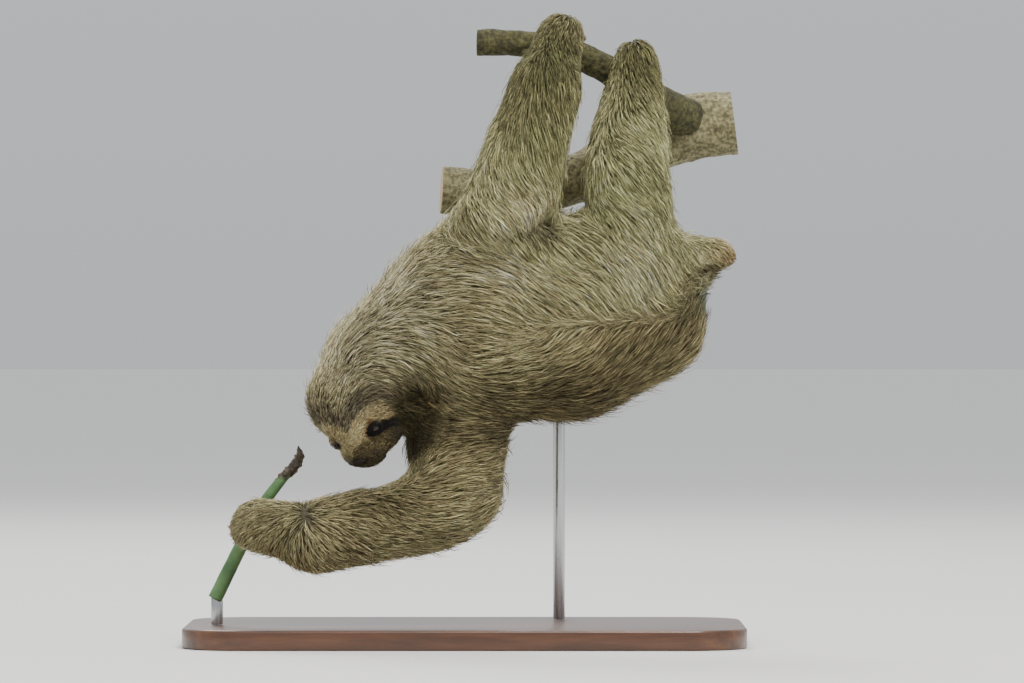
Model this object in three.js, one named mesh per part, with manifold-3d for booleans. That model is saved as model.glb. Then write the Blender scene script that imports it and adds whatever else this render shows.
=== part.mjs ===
// Brown-throated three-toed sloth, a still life-size model in millimetres, +Z up.
// It hangs with its back to -Y: the right hand and right foot hook over a thin branch, the left
// foot holds the thicker fork behind its belly, and the left hand pulls in a green stem, at which
// the head looks down. The cut lengths of branch and stem stand on a flat base with two rods.
// The origin is the middle of the base's underside. The solids reach to the tips of the coat.
import * as THREE from "three";
import { mergeVertices } from "three/addons/utils/BufferGeometryUtils.js";
import Module from "manifold-3d";

const wasm = await Module();
wasm.setup();

// ---------------------------------------------------------------- driving dimensions
const UPPER_ARM = 128; // shoulder to elbow
const FOREARM = 150; // elbow to wrist
const PALM = 57; // wrist to knuckles
const THIGH = 90; // hip to knee
const SHIN = 93; // knee to ankle
const HAND_CLAW = 76; // length round the curve
const FOOT_CLAW = 60;
const CLAW_RADIUS = 4.2; // at the root
const CLAW_SPACING = 11.5; // between the three claws of a limb
const EYE_RADIUS = 6;

const CUT = 0.4; // width of the thin cuts that part the body
const CLEARANCE = 0.5; // between a solid and one that is hollowed to hold it
const BODY_FACET = 20;
const HEAD_FACET = 12;

const BASE = { length: 560, width: 300, height: 20, corner: 60 };
const ROD_RADIUS = 6;

// ---------------------------------------------------------------- points and directions
const at = (x, y, z) => new THREE.Vector3(x, y, z);
const between = (a, b, share) => a.clone().lerp(b, share);

// The point that lies this far from another, towards a direction.
const reach = (from, length, x, y, z) => at(x, y, z).setLength(length).add(from);

// The turn that brings +Y round to a direction.
const turnTo = (direction) => new THREE.Quaternion().setFromUnitVectors(at(0, 1, 0), direction);

// ---------------------------------------------------------------- branch and stem
// Each is a row of places on its middle line and the radius at each of them.
const THIN_BRANCH = {
  line: [
    at(12, 2, 604),
    at(55, 0, 603),
    at(93, 3, 597),
    at(135, 12, 582),
    at(175, 24, 558),
    at(210, 58, 537),
    at(236, 90, 524),
  ],
  radii: [13.5, 14, 14, 14.5, 16, 20, 24],
};
const THICK_BRANCH = {
  line: [
    at(-25, 92, 458),
    at(45, 97, 454),
    at(110, 96, 469),
    at(160, 95, 493),
    at(220, 94, 520),
    at(274, 92, 527),
  ],
  radii: [24, 25, 26, 29, 35, 32],
};
const STEM = {
  line: [at(-167, -22, 199), at(-183, -22, 166), at(-200, -24, 143), at(-225, -26, 97), at(-250, -28, 46)],
  radii: [4, 6, 6.5, 7, 7.5],
};

// ---------------------------------------------------------------- the claws' hooks
// A hook bends round a perch: its middle, the perch's own direction, the way from the middle to
// the point where the claws bear on the perch, and the way they travel there.
function hookOn(perch, place, bearing, bend, length, lead) {
  const curve = new THREE.CatmullRomCurve3(perch.line);
  const along = curve.getTangentAt(place);
  const i = Math.min(Math.floor(place * (perch.radii.length - 1)), perch.radii.length - 2);
  const radius = Math.max(perch.radii[i], perch.radii[i + 1]);
  const touch = bearing.clone().addScaledVector(along, -bearing.dot(along)).normalize();
  const travel = touch.clone().cross(along);
  const middle = curve.getPointAt(place).addScaledVector(touch, radius + CLAW_RADIUS + 1 - bend);
  return { middle, along, touch, travel, bend, length, lead };
}

// A place on a hook's arc, at an angle from its bearing point, and aside along the perch.
const onHook = (hook, angle, aside) =>
  hook.middle
    .clone()
    .addScaledVector(hook.touch, hook.bend * Math.cos(angle))
    .addScaledVector(hook.travel, hook.bend * Math.sin(angle))
    .addScaledVector(hook.along, aside);

const HOOKS = {
  hand_right: hookOn(THIN_BRANCH, 0.33, at(0, 0.2, 1), 24, HAND_CLAW, 0.7),
  foot_right: hookOn(THIN_BRANCH, 0.63, at(0, 0, 1), 25, FOOT_CLAW, 0.7),
  foot_left: hookOn(THICK_BRANCH, 0.61, at(0, 0.1, 1), 36, FOOT_CLAW, 0.9),
  hand_left: hookOn(STEM, 0.53, at(-0.17, 0.98, 0), 22, HAND_CLAW, 1.7),
};

// ---------------------------------------------------------------- the skeleton's places
const NECK_ROOT = at(-20, -28, 324);
const THORAX = at(38, -30, 328);
const MIDRIFF = at(105, -30, 328);
const LOIN = at(150, -30, 338);
const PELVIS = at(182, -28, 346);
const RUMP = at(202, -22, 319);
const TAIL_ROOT = at(212, -34, 379);
const TAIL_TIP = at(258, -42, 393);

const SHOULDER_R = at(-18, 12, 338);
const ELBOW_R = reach(SHOULDER_R, UPPER_ARM, 54, -82, 78);
const WRIST_R = reach(ELBOW_R, FOREARM, 44, 24, 142);
const KNUCKLE_R = reach(WRIST_R, PALM, 15, 22, 49);
const FINGER_R = onHook(HOOKS.hand_right, -0.5, 0);

const SHOULDER_L = at(-4, -25, 284);
const ELBOW_L = reach(SHOULDER_L, UPPER_ARM, -7, -17, -126);
const WRIST_L = reach(ELBOW_L, FOREARM, -140, -26, -46);
const KNUCKLE_L = reach(WRIST_L, PALM, -55, 12, 9);
const FINGER_L = onHook(HOOKS.hand_left, -1.55, 0);

const HIP_R = at(172, -25, 384);
const KNEE_R = reach(HIP_R, THIGH, -11, -15, 87);
const ANKLE_R = reach(KNEE_R, SHIN, 9, 30, 86);
const FOOT_R = ANKLE_R.clone().add(at(1, 2, 29));
const TOES_R = onHook(HOOKS.foot_right, -0.5, 0);

const HIP_L = at(196, -8, 312);
const KNEE_L = reach(HIP_L, THIGH, -4, 82, 36);
const ANKLE_L = reach(KNEE_L, SHIN, -30, -26, 86);
const FOOT_L = ANKLE_L.clone().add(at(-2, -4, 48));
const TOES_L = onHook(HOOKS.foot_left, -0.8, 0);

// The head's own frame: its middle, and the ways the nose, the left cheek and the crown point.
const SKULL = at(-106, -56, 238);
const LEFTWARD = at(0.865, -0.394, 0.313).normalize();
const CROWNWARD = at(0.01, -0.608, -0.795).cross(LEFTWARD).normalize();
const NOSEWARD = LEFTWARD.clone().cross(CROWNWARD);
const HEAD_FRAME = new THREE.Matrix4().makeBasis(NOSEWARD, LEFTWARD, CROWNWARD).setPosition(SKULL);
const TO_HEAD = HEAD_FRAME.clone().invert();
const inHead = (forward, left, up) => at(forward, left, up).applyMatrix4(HEAD_FRAME);
const NAPE = at(-90, -36, 283);

// ---------------------------------------------------------------- distance fields
// Distance to a cone with round ends that runs from a to b.
function roundCone(a, b, radiusA, radiusB) {
  const axis = b.clone().sub(a);
  const length2 = axis.lengthSq();
  return (p) => {
    const d = p.clone().sub(a);
    const t = THREE.MathUtils.clamp(d.dot(axis) / length2, 0, 1);
    return d.addScaledVector(axis, -t).length() - THREE.MathUtils.lerp(radiusA, radiusB, t);
  };
}

// The same cone, thinner front to back (along Y) by the given share.
function flatCone(a, b, radiusA, radiusB, share) {
  const squeeze = (p) => at(p.x, a.y + (p.y - a.y) / share, p.z);
  const cone = roundCone(a, squeeze(b), radiusA, radiusB);
  return (p) => cone(squeeze(p));
}

// Distance, near enough, to an ellipsoid whose axes follow the head's frame.
function headLump(forward, left, up, halfLength, halfWidth, halfHeight) {
  const middle = at(forward, left, up);
  const half = at(halfLength, halfWidth, halfHeight);
  return (p) => {
    const d = p.clone().applyMatrix4(TO_HEAD).sub(middle);
    const scaled = d.divide(half).length();
    const slope = d.divide(half).length();
    return (scaled * (scaled - 1)) / Math.max(slope, 1e-9);
  };
}

// The smaller of two distances, with a fillet about as wide as blend where they are alike.
function filleted(blend, a, b) {
  const h = Math.max(blend - Math.abs(a - b), 0) / blend;
  return Math.min(a, b) - (h * h * blend) / 4;
}

// Joins fields with fillets between them.
const soften = (blend, ...fields) => (p) =>
  fields.reduce((joined, field) => filleted(blend, joined, field(p)), Infinity);

// ---------------------------------------------------------------- the body's forms
// A place beside the left forearm's bones: so far along them and so much higher.
const byForearm = (share, rise) => between(ELBOW_L, WRIST_L, share).add(at(0, 0, rise));

const trunk = soften(
  22,
  flatCone(THORAX, MIDRIFF, 98, 99, 0.76),
  flatCone(MIDRIFF, LOIN, 99, 82, 0.76),
  flatCone(LOIN, PELVIS, 77, 52, 0.82),
  flatCone(NECK_ROOT, THORAX, 72, 92, 0.85),
  roundCone(PELVIS, RUMP, 42, 35),
);
const neck = roundCone(NECK_ROOT, NAPE, 77, 56);
const tail = roundCone(TAIL_ROOT, TAIL_TIP, 28, 17);

const forelimbR = soften(
  14,
  roundCone(SHOULDER_R, ELBOW_R, 65, 48),
  roundCone(ELBOW_R, WRIST_R, 49, 37),
  roundCone(WRIST_R, KNUCKLE_R, 29, 23),
  roundCone(KNUCKLE_R, FINGER_R, 22, 13),
);
const forelimbL = soften(
  14,
  roundCone(SHOULDER_L, ELBOW_L, 56, 50),
  roundCone(byForearm(0, -10), byForearm(1, -2), 38, 33),
  roundCone(byForearm(0.15, -18), byForearm(0.9, -6), 40, 34),
  roundCone(WRIST_L, KNUCKLE_L, 35, 26),
  roundCone(KNUCKLE_L, FINGER_L, 24, 11),
);
const hindlimbR = soften(
  14,
  roundCone(HIP_R, KNEE_R, 46, 42),
  roundCone(KNEE_R, ANKLE_R, 42, 26),
  roundCone(between(KNEE_R, ANKLE_R, 0.35), between(KNEE_R, ANKLE_R, 0.75), 39, 32),
  roundCone(ANKLE_R, FOOT_R, 25, 20),
  roundCone(FOOT_R, TOES_R, 19, 12),
);
const hindlimbL = soften(
  14,
  roundCone(HIP_L, KNEE_L, 44, 40),
  roundCone(KNEE_L, ANKLE_L, 38, 27),
  roundCone(ANKLE_L, FOOT_L, 25, 21),
  roundCone(FOOT_L, TOES_L, 19, 12),
);

const head = soften(
  10,
  headLump(0, 0, 2, 46, 50, 43), // skull
  headLump(-12, -8, 10, 40, 42, 40), // back of the head
  headLump(28, 1, 14, 20, 28, 17), // brow
  headLump(27, 25, -16, 20, 17, 15), // left cheek
  headLump(16, -21, -14, 18, 14, 14), // right cheek
  headLump(14, 0, -24, 34, 24, 17), // jaw
  headLump(40, 3, -20, 17, 19, 13), // chin
  headLump(45, -1, -11, 18, 24, 14), // muzzle
  headLump(38, 0, 3, 17, 15, 13), // bridge of the nose
);
const headOnNeck = soften(16, head, neck);
const core = soften(18, trunk, neck, tail);

// Each limb is filleted to the trunk, but limbs and head only touch each other.
const limbOnTrunk = (limb) => soften(18, core, limb);
const limbsOnTrunk = [forelimbR, forelimbL, hindlimbR, hindlimbL].map(limbOnTrunk);
const body = (p) => Math.min(headOnNeck(p), ...limbsOnTrunk.map((field) => field(p)));

// ---------------------------------------------------------------- solids
// A geometry's closed mesh as a manifold-3d solid, its shared vertices merged.
function solidOf(geometry) {
  const bare = geometry.index ? geometry.toNonIndexed() : geometry;
  const places = new THREE.BufferGeometry().setAttribute("position", bare.getAttribute("position"));
  const merged = mergeVertices(places, 1e-3);
  return new wasm.Manifold(
    new wasm.Mesh({
      numProp: 3,
      vertProperties: merged.attributes.position.array,
      triVerts: new Uint32Array(merged.index.array),
    }),
  );
}

// A point moved on to the field's surface, by at most half a cell.
function drawnOn(field, point, cell) {
  const start = point.clone();
  for (let step = 0; step < 3; step++) {
    const d = field(point);
    const slope = at(
      field(point.clone().add(at(1, 0, 0))) - d,
      field(point.clone().add(at(0, 1, 0))) - d,
      field(point.clone().add(at(0, 0, 1))) - d,
    );
    point.addScaledVector(slope, -d / Math.max(slope.lengthSq(), 0.1));
  }
  return start.add(point.sub(start).clampLength(0, cell / 2));
}

// The faceted surface where a field is zero, inside a box of cubic cells: one vertex in each cell
// that the surface crosses, and one quad round each cell edge that it crosses.
function facetsOf(field, box, cell) {
  const count = box.getSize(at(0, 0, 0)).divideScalar(cell).ceil().addScalar(1);
  const place = (i, j, k) => at(i, j, k).multiplyScalar(cell).add(box.min);
  const index = (i, j, k) => i + count.x * (j + count.y * k);
  const value = new Float64Array(count.x * count.y * count.z);
  const everyPoint = (visit) => {
    for (let k = 0; k < count.z; k++)
      for (let j = 0; j < count.y; j++) for (let i = 0; i < count.x; i++) visit(i, j, k);
  };
  everyPoint((i, j, k) => (value[index(i, j, k)] = field(place(i, j, k))));

  const corners = [0, 1, 2, 3, 4, 5, 6, 7].map((c) => [c & 1, (c >> 1) & 1, c >> 2]);
  const isEdge = (a, b) => a.filter((x, axis) => x !== b[axis]).length === 1;
  const edges = corners.flatMap((a, n) => corners.slice(n + 1).flatMap((b) => (isEdge(a, b) ? [[a, b]] : [])));
  const vertexOf = new Map();
  const positions = [];
  everyPoint((i, j, k) => {
    if (i + 1 >= count.x || j + 1 >= count.y || k + 1 >= count.z) return;
    const corner = (c) => [i + c[0], j + c[1], k + c[2]];
    const middle = at(0, 0, 0);
    let crossings = 0;
    for (const [a, b] of edges) {
      const [va, vb] = [value[index(...corner(a))], value[index(...corner(b))]];
      if (va < 0 === vb < 0) continue;
      middle.add(place(...corner(a)).lerp(place(...corner(b)), va / (va - vb)));
      crossings++;
    }
    if (!crossings) return;
    vertexOf.set(index(i, j, k), positions.length / 3);
    positions.push(...drawnOn(field, middle.divideScalar(crossings), cell).toArray());
  });

  const steps = [at(1, 0, 0), at(0, 1, 0), at(0, 0, 1)];
  const triangles = [];
  everyPoint((i, j, k) => {
    steps.forEach((along, axis) => {
      const end = at(i, j, k).add(along);
      if (end.x >= count.x || end.y >= count.y || end.z >= count.z) return;
      const inside = value[index(i, j, k)] < 0;
      if (inside === value[index(end.x, end.y, end.z)] < 0) return;
      const [side, other] = [steps[(axis + 1) % 3], steps[(axis + 2) % 3]];
      const ring = [at(0, 0, 0), side, side.clone().add(other), other].map((back) => {
        const cellAt = at(i, j, k).sub(back);
        return vertexOf.get(index(cellAt.x, cellAt.y, cellAt.z));
      });
      if (inside) ring.reverse();
      triangles.push(ring[0], ring[2], ring[1], ring[0], ring[3], ring[2]);
    });
  });
  return new THREE.BufferGeometry()
    .setAttribute("position", new THREE.Float32BufferAttribute(positions, 3))
    .setIndex(triangles);
}

// A tube with flat ends along a smooth curve, its radius given at even shares of its length.
function taperedTube(line, radii, sides, steps) {
  const curve = new THREE.CatmullRomCurve3(line);
  const frames = curve.computeFrenetFrames(steps);
  const positions = [];
  for (let i = 0; i <= steps; i++) {
    const middle = curve.getPointAt(i / steps);
    const place = (i / steps) * (radii.length - 1);
    const before = Math.min(Math.floor(place), radii.length - 2);
    const radius = THREE.MathUtils.lerp(radii[before], radii[before + 1], place - before);
    for (let s = 0; s < sides; s++) {
      const turn = (2 * Math.PI * s) / sides;
      const spoke = frames.normals[i].clone().multiplyScalar(Math.cos(turn) * radius);
      spoke.addScaledVector(frames.binormals[i], Math.sin(turn) * radius);
      positions.push(...spoke.add(middle).toArray());
    }
  }
  positions.push(...line[0].toArray(), ...line[line.length - 1].toArray());
  const ends = (steps + 1) * sides;
  const triangles = [];
  for (let s = 0; s < sides; s++) {
    const next = (s + 1) % sides;
    for (let here = 0; here < steps * sides; here += sides) {
      const ahead = here + sides;
      triangles.push(here + s, here + next, ahead + next, here + s, ahead + next, ahead + s);
    }
    triangles.push(ends, next, s, ends + 1, ends - sides + s, ends - sides + next);
  }
  return new THREE.BufferGeometry()
    .setAttribute("position", new THREE.Float32BufferAttribute(positions, 3))
    .setIndex(triangles);
}

// A claw of a hook, set aside along the perch; it starts at the lead before the bearing point.
function clawSolid(hook, aside, swell = 0) {
  const STEPS = 7;
  const sweep = hook.length / hook.bend;
  const line = Array.from({ length: STEPS + 1 }, (_, i) => onHook(hook, (sweep * i) / STEPS - hook.lead, aside));
  const radii = [1, 1, 0.9, 0.72, 0.45, 0.12].map((share) => CLAW_RADIUS * share + swell);
  return solidOf(taperedTube(line, radii, 5, STEPS));
}

// A perch's tube, swollen by some clearance.
function perchSolid(perch, sides, steps, swell = 0) {
  const radii = perch.radii.map((radius) => radius + swell);
  return solidOf(taperedTube(perch.line, radii, sides, steps));
}
const thickBranch = (swell) => perchSolid(THICK_BRANCH, 12, 9, swell);
const thinBranch = (swell) => perchSolid(THIN_BRANCH, 9, 11, swell);

function stemSolid(swell = 0) {
  const stem = perchSolid(STEM, 8, 9, swell);
  const bud = new THREE.ConeGeometry(3.5 + swell, 16, 6).rotateY(0.4).rotateZ(-0.7);
  return stem.add(solidOf(bud.translate(-186, -24, 157)));
}

// A ball stretched along the head's axes, at a place in the head's frame.
function headBall(place, half) {
  const ball = new THREE.SphereGeometry(1, 10, 7).scale(half.x, half.y, half.z);
  return solidOf(ball.applyMatrix4(HEAD_FRAME.clone().setPosition(place)));
}

// Where the head's surface lies on the way from its inside to a place outside.
function headSurface(inside, outside) {
  let [near, far] = [0, 1];
  for (let halving = 0; halving < 12; halving++) {
    const middle = (near + far) / 2;
    if (head(between(inside, outside, middle)) < 0) near = middle;
    else far = middle;
  }
  return between(inside, outside, near);
}

function baseSolid() {
  const { length, width, height, corner } = BASE;
  const outline = new THREE.Shape();
  outline.absarc(length / 2 - corner, width / 2 - corner, corner, 0, Math.PI / 2);
  outline.absarc(corner - length / 2, width / 2 - corner, corner, Math.PI / 2, Math.PI);
  outline.absarc(corner - length / 2, corner - width / 2, corner, Math.PI, 1.5 * Math.PI);
  outline.absarc(length / 2 - corner, corner - width / 2, corner, 1.5 * Math.PI, 2 * Math.PI);
  return solidOf(new THREE.ExtrudeGeometry(outline, { depth: height, bevelEnabled: false, curveSegments: 6 }));
}

// An upright rod that rises from the base up to the perch above it.
function rodSolid(x, y, top) {
  const bottom = BASE.height + CLEARANCE;
  const rod = new THREE.CylinderGeometry(ROD_RADIUS, ROD_RADIUS, top - bottom, 16).rotateX(Math.PI / 2);
  const cut = solidOf(rod.translate(x, y, (top + bottom) / 2)).subtract(perchRoom);
  return bodyAt(cut, at(x, y, bottom + 5));
}

// ---------------------------------------------------------------- parting the body
// A disc centred on a place, facing a direction, as a knife that takes out a thin cut.
function knife(place, facing, radius) {
  const disc = new THREE.CylinderGeometry(radius, radius, CUT, 24).applyQuaternion(turnTo(facing));
  return solidOf(disc.translate(place.x, place.y, place.z));
}

// The way that lies halfway between the directions of the two bones that meet at a joint.
const bisecting = (before, joint, after) =>
  joint.clone().sub(before).normalize().add(after.clone().sub(joint).normalize()).normalize();

// A row of capsules through a limb's joints, wide enough to hold it.
const sleeve = (limb, swell) =>
  limb.joints
    .slice(1)
    .map((end, i) => {
      const axis = end.clone().sub(limb.joints[i]);
      const capsule = new THREE.CapsuleGeometry(limb.room[i] + swell, axis.length(), 3, 12);
      const middle = between(limb.joints[i], end, 0.5);
      return solidOf(capsule.applyQuaternion(turnTo(axis.normalize())).translate(middle.x, middle.y, middle.z));
    })
    .reduce((joined, capsule) => joined.add(capsule));

// Of the separate bodies in a solid, the one that holds a place.
function bodyAt(solid, place) {
  const speck = solidOf(new THREE.BoxGeometry(1, 1, 1).translate(place.x, place.y, place.z));
  return solid.decompose().find((piece) => piece.intersect(speck).volume() > 0.5);
}

// Each limb's joints, from where it leaves the trunk, and the room its sleeve gives each part.
const LIMBS = [
  {
    parts: ["upper_arm_right", "forearm_right", "hand_right"],
    flesh: forelimbR,
    joints: [between(SHOULDER_R, ELBOW_R, 0.45), ELBOW_R, WRIST_R, FINGER_R],
    room: [66, 58, 48],
  },
  {
    parts: ["upper_arm_left", "forearm_left", "hand_left"],
    flesh: forelimbL,
    joints: [between(SHOULDER_L, ELBOW_L, 0.6), ELBOW_L, WRIST_L, FINGER_L],
    room: [61, 66, 54],
  },
  {
    parts: ["thigh_right", "shin_right", "foot_right"],
    flesh: hindlimbR,
    joints: [between(HIP_R, KNEE_R, 0.5), KNEE_R, ANKLE_R, TOES_R],
    room: [56, 52, 42],
  },
  {
    parts: ["thigh_left", "shin_left", "foot_left"],
    flesh: hindlimbL,
    joints: [between(HIP_L, KNEE_L, 0.5), KNEE_L, ANKLE_L, TOES_L],
    room: [53, 49, 40],
  },
];

// ---------------------------------------------------------------- building
const group = new THREE.Group();

const LOOKS = {
  coat: { color: 0x8a7d66, roughness: 0.9, metalness: 0 },
  face: { color: 0x9a8a70, roughness: 0.9, metalness: 0 },
  eye: { color: 0x120c09, roughness: 0.12, metalness: 0 },
  nose: { color: 0x2b221d, roughness: 0.45, metalness: 0 },
  claw: { color: 0xb3a283, roughness: 0.4, metalness: 0 },
  bark: { color: 0x7c6c58, roughness: 0.85, metalness: 0 },
  stem: { color: 0x50783a, roughness: 0.6, metalness: 0 },
  wood: { color: 0x4b3424, roughness: 0.5, metalness: 0 },
  steel: { color: 0x9b9da0, roughness: 0.3, metalness: 1 },
};

function addNode(name, look, solid) {
  const mesh = solid.getMesh();
  const geometry = new THREE.BufferGeometry()
    .setAttribute("position", new THREE.BufferAttribute(mesh.vertProperties, 3))
    .setIndex(new THREE.BufferAttribute(mesh.triVerts, 1));
  geometry.computeVertexNormals();
  const node = new THREE.Mesh(geometry, new THREE.MeshStandardMaterial(LOOKS[look]));
  node.name = name;
  group.add(node);
}

// Everything the flesh is hollowed for: the perches, and the roots of claws, eyes and nose.
const perchRoom = thickBranch(CLEARANCE).add(thinBranch(CLEARANCE)).add(stemSolid(CLEARANCE));
let room = perchRoom;

for (const [limb, hook] of Object.entries(HOOKS)) {
  ["inner", "middle", "outer"].forEach((which, i) => {
    const aside = (i - 1) * CLAW_SPACING;
    addNode(`claw_${limb}_${which}`, "claw", clawSolid(hook, aside));
    room = room.add(clawSolid(hook, aside, CLEARANCE));
  });
}

for (const [side, left, lift] of [["left", 1, 8], ["right", -1, 3]]) {
  const inside = inHead(12, 12 * left, 4);
  const surface = headSurface(inside, inHead(56, 31 * left, lift));
  const place = surface.clone().addScaledVector(inside.sub(surface).normalize(), EYE_RADIUS * 0.8);
  const half = at(EYE_RADIUS, EYE_RADIUS, EYE_RADIUS);
  addNode(`eye_${side}`, "eye", headBall(place, half));
  room = room.add(headBall(place, half.clone().addScalar(CLEARANCE)));
}
const nosePlace = headSurface(SKULL, inHead(90, -4, -12)).lerp(SKULL, 0.03);
addNode("nose", "nose", headBall(nosePlace, at(4, 8, 4.6)));
room = room.add(headBall(nosePlace, at(4, 8, 4.6).addScalar(CLEARANCE)));

const wholeBox = new THREE.Box3(at(-309, -158, 27), at(320, 190, 680));
let torso = solidOf(facetsOf(body, wholeBox, BODY_FACET)).subtract(room);
for (const limb of LIMBS) {
  const [root, middle, end, tip] = limb.joints;
  const parted = solidOf(facetsOf(limbOnTrunk(limb.flesh), wholeBox, BODY_FACET))
    .subtract(room)
    .intersect(sleeve(limb, -CUT))
    .subtract(knife(middle, bisecting(root, middle, end), 90))
    .subtract(knife(end, bisecting(middle, end, tip), 60));
  limb.parts.forEach((part, i) => {
    addNode(part, "coat", bodyAt(parted, between(limb.joints[i], limb.joints[i + 1], 0.5)));
  });
  torso = torso.subtract(sleeve(limb, 0));
  room = room.add(sleeve(limb, 0));
}

// The head has finer facets; it meets the neck at a slanting cut behind the ears.
const HEAD_CUT = inHead(-34, 0, 8);
const FACEWARD = at(-0.42, -0.35, -0.84).normalize();
const headSide = (gap) => {
  const middle = HEAD_CUT.clone().addScaledVector(FACEWARD, 100 + gap);
  const drum = new THREE.CylinderGeometry(110, 110, 200, 24).applyQuaternion(turnTo(FACEWARD));
  return solidOf(drum.translate(middle.x, middle.y, middle.z));
};
const headBox = new THREE.Box3(at(-203, -160, 130), at(40, 60, 420));
const headPart = solidOf(facetsOf(headOnNeck, headBox, HEAD_FACET))
  .subtract(room)
  .intersect(headSide(CUT))
  .subtract(sleeve(LIMBS[1], 0));
addNode("head", "face", bodyAt(headPart, SKULL));

const NECK_CUT = between(NECK_ROOT, HEAD_CUT, 0.3);
torso = torso
  .subtract(headSide(0))
  .subtract(knife(NECK_CUT, at(-0.9, 0, -0.42).normalize(), 130))
  .subtract(knife(between(TAIL_ROOT, TAIL_TIP, 0.5), TAIL_TIP.clone().sub(TAIL_ROOT).normalize(), 42));
addNode("neck", "coat", bodyAt(torso, between(NECK_CUT, HEAD_CUT, 0.6)));
addNode("trunk", "coat", bodyAt(torso, MIDRIFF));
addNode("tail", "coat", bodyAt(torso, between(TAIL_ROOT, TAIL_TIP, 0.9)));

addNode("perch_branch_thick", "bark", thickBranch(0));
addNode("perch_branch_thin", "bark", thinBranch(0).subtract(thickBranch(CUT)));
addNode("perch_stem", "stem", stemSolid());
addNode("stand_base", "wood", baseSolid());
addNode("stand_rod_branch", "steel", rodSolid(95, 96, 460));
addNode("stand_rod_stem", "steel", rodSolid(-248, -28, 56));

export default group;
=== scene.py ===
import bmesh
import bpy
import numpy as np
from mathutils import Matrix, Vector
from mathutils.bvhtree import BVHTree


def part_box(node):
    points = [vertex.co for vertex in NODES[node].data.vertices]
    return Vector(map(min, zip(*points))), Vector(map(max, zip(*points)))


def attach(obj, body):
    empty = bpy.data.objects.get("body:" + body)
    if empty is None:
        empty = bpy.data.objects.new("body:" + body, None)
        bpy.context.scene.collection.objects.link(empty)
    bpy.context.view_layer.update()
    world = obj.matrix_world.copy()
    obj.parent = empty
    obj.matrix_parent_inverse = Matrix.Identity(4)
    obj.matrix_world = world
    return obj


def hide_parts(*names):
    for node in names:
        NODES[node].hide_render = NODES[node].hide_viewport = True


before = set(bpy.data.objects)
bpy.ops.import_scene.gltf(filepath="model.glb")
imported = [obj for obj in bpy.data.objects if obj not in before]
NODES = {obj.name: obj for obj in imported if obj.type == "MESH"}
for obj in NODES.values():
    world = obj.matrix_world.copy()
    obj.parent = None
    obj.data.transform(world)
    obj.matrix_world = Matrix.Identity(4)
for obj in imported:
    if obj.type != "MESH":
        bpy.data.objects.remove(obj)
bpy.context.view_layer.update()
MM = 0.001  # everything below is in millimetres until a mesh is made
MERGE = 1e-5  # points of a CAD solid this near to each other, in metres, are one
rng = np.random.default_rng(23)

# ----- body plan
SHOULDER_R, ELBOW_R = (-18, 12, 338), (37, -72, 418)
WRIST_R, FINGER_R = (81, -48, 559), (98, -2, 625)
SHOULDER_L, ELBOW_L = (-4, -25, 284), (-11, -42, 157)
WRIST_L, FINGER_L = (-151, -68, 111), (-235, -38, 122)
HIP_R, KNEE_R, ANKLE_R, TOES_R = (172, -25, 384), (161, -40, 472), (170, -10, 559), (172, 8, 585)
HIP_L, KNEE_L, ANKLE_L, TOES_L = (196, -8, 312), (192, 74, 348), (162, 49, 433), (158, 67, 515)
NECK_ROOT, NAPE, SKULL = (-20, -28, 324), (-90, -36, 283), (-106, -56, 238)
THORAX, LOIN, RUMP = (38, -30, 328), (150, -30, 338), (205, -24, 330)
TAIL_ROOT, TAIL_TIP = (212, -34, 379), (258, -42, 393)
TAILWARD = (0.95, 0, 0.28)

# name, from, to, radii there, hair length, coat depth, hair width, lie of the hair
BONES = (
    ("head", SKULL, (-98, -50, 255), 46, 46, 12, 7, 0.75, (0.5, 0.3, 0.6)),
    ("neck", NAPE, NECK_ROOT, 56, 72, 30, 11, 1.1, (0.86, 0, 0.4)),
    ("chest", NECK_ROOT, THORAX, 76, 97, 37, 12, 1.2, TAILWARD),
    ("belly", THORAX, LOIN, 97, 80, 37, 12, 1.2, TAILWARD),
    ("rump", LOIN, RUMP, 80, 56, 35, 12, 1.2, TAILWARD),
    ("tail", TAIL_ROOT, TAIL_TIP, 28, 17, 15, 5, 0.9, (0.9, 0, -0.35)),
    ("upper_arm_right", SHOULDER_R, ELBOW_R, 63, 48, 36, 11, 1.2, (0.5, -0.1, -0.6)),
    ("forearm_right", ELBOW_R, WRIST_R, 46, 26, 37, 9, 1.2, (-0.2, -0.1, -0.9)),
    ("hand_right", WRIST_R, FINGER_R, 24, 15, 13, 4.5, 0.8, (-0.3, 0.1, -0.6)),
    ("upper_arm_left", SHOULDER_L, ELBOW_L, 55, 45, 28, 10, 1.2, (0.5, -0.1, -0.7)),
    ("forearm_left", WRIST_L, ELBOW_L, 30, 40, 26, 8, 1.1, (0.95, 0.1, 0.1)),
    ("hand_left", WRIST_L, FINGER_L, 25, 13, 14, 4.5, 0.8, (-0.9, 0.2, -0.3)),
    ("thigh_right", HIP_R, KNEE_R, 46, 40, 29, 10, 1.2, (0.3, -0.1, -0.8)),
    ("shin_right", KNEE_R, ANKLE_R, 38, 24, 26, 8, 1.1, (0.1, -0.1, -0.9)),
    ("foot_right", ANKLE_R, TOES_R, 22, 14, 12, 4.5, 0.8, (0.1, -0.1, -0.8)),
    ("thigh_left", HIP_L, KNEE_L, 44, 40, 28, 9, 1.2, (0.2, 0.7, -0.3)),
    ("shin_left", KNEE_L, ANKLE_L, 37, 26, 25, 8, 1.1, (0.2, 0.2, -0.9)),
    ("foot_left", ANKLE_L, TOES_L, 24, 13, 12, 4.5, 0.8, (0, 0, -0.9)),
)
FLESH = [b[0] for b in BONES if b[0] not in ("chest", "belly", "rump")] + ["trunk"]

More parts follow.
